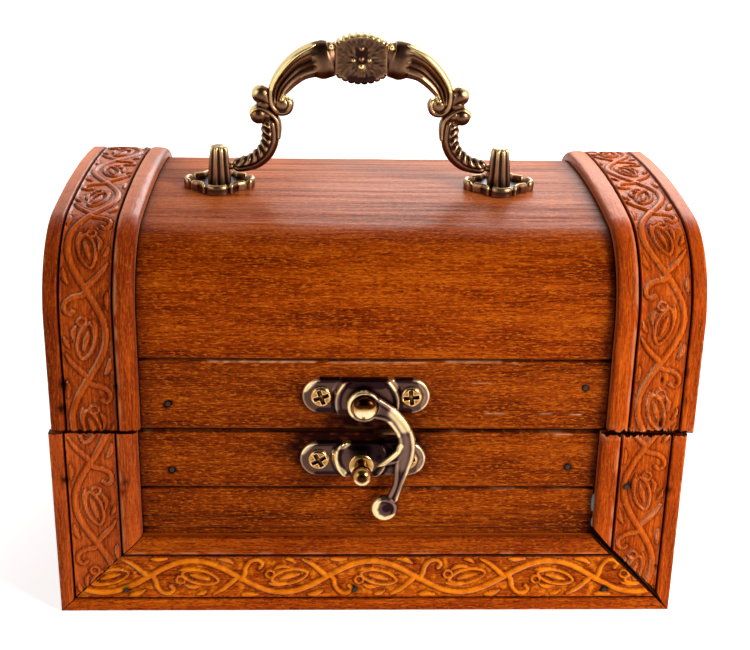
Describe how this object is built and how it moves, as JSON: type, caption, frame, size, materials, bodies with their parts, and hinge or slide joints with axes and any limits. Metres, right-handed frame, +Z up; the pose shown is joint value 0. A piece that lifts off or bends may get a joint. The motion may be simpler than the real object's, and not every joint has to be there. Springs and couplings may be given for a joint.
{
  "type": "keepsake box",
  "caption": "Small wooden chest with a domed hinged lid, vine-carved bands, a bail handle on fluted posts and a swing-hook latch.",
  "frame": {"origin": "centre of the base's underside, on the surface that the box stands on", "axes": "+X to the box's right as seen from the front, +Y to the back, +Z up"},
  "size_m": [0.1407, 0.101, 0.1247],
  "materials": {
    "plain_wood": "reddish brown stain, straight grain, clear lacquer",
    "panel_wood": "reddish brown stain, glossy clear lacquer",
    "carved_wood": "carved vine scroll, orange brown with dark stain in the hollows",
    "bottom_wood": "thin stain",
    "bronze": "antique bronze, dark in the hollows, rubbed bright on the edges",
    "latch": "antique bronze, rubbed bright on the edges",
    "hinge": "antique bronze",
    "brass": "worn brass",
    "screw": "brass with dark cross slots",
    "brad": "blackened wire",
    "steel": "plain steel"
  },
  "bodies": {
    "base": {"hinge_right_base_leaf": "hinge", "hinge_left_base_leaf": "hinge", "catch_plate": "latch", "catch_stud": "brass", "base_front_upper_plank": "plain_wood", "catch_screw_left": "screw", "catch_screw_right": "screw", "base_back_board": "plain_wood", "hinge_right_base_screw_1": "screw", "hinge_right_base_screw_2": "screw", "hinge_left_base_screw_1": "screw", "hinge_left_base_screw_2": "screw", "base_front_bottom_band": "carved_wood", "base_front_right_band": "carved_wood", "hinge_right_pin": "steel", "hinge_left_pin": "steel", "base_front_left_band": "carved_wood", "base_back_left_band": "carved_wood", "base_back_right_band": "carved_wood", "base_band_brad_1": "brad", "base_band_brad_2": "brad", "base_band_brad_3": "brad", "base_band_brad_4": "brad", "base_plank_brad_1": "brad", "base_plank_brad_2": "brad", "base_front_lower_plank": "plain_wood", "base_left_board": "plain_wood", "base_right_board": "plain_wood", "base_bottom_board": "bottom_wood"},
    "lid": {"lid_left_band": "carved_wood", "lid_right_band": "carved_wood", "latch_plate": "latch", "handle_rosette_left": "bronze", "handle_rosette_right": "bronze", "lid_top_panel": "panel_wood", "hinge_right_lid_leaf": "hinge", "hinge_left_lid_leaf": "hinge", "handle_post_left": "bronze", "handle_post_right": "bronze", "latch_rivet": "brass", "latch_screw_left": "screw", "latch_screw_right": "screw", "lid_front_rail": "plain_wood", "lid_back_rail": "plain_wood", "hinge_right_lid_screw_1": "screw", "hinge_right_lid_screw_2": "screw", "hinge_left_lid_screw_1": "screw", "hinge_left_lid_screw_2": "screw", "handle_screw_left": "steel", "handle_screw_right": "steel", "lid_left_end": "plain_wood", "lid_right_end": "plain_wood", "lid_rail_brad_1": "brad", "lid_rail_brad_2": "brad"},
    "handle": {"handle_bail": "bronze"},
    "hook": {"latch_hook": "latch"}
  },
  "joints": [
    {"name": "lid_hinge", "type": "hinge", "parent": "base", "child": "lid", "pos_m": [0, 0.04485, 0.04525], "axis": [-1, 0, 0], "range_deg": [0, 110]},
    {"name": "handle_fold", "type": "hinge", "parent": "lid", "child": "handle", "pos_m": [-0.0021, -0.003, 0.09349], "axis": [1, 0, 0], "range_deg": [-96, 96]},
    {"name": "hook_swing", "type": "hinge", "parent": "lid", "child": "hook", "pos_m": [-0.0014, -0.0458, 0.0521], "axis": [0, -1, 0], "range_deg": [-14, 280]}
  ]
}
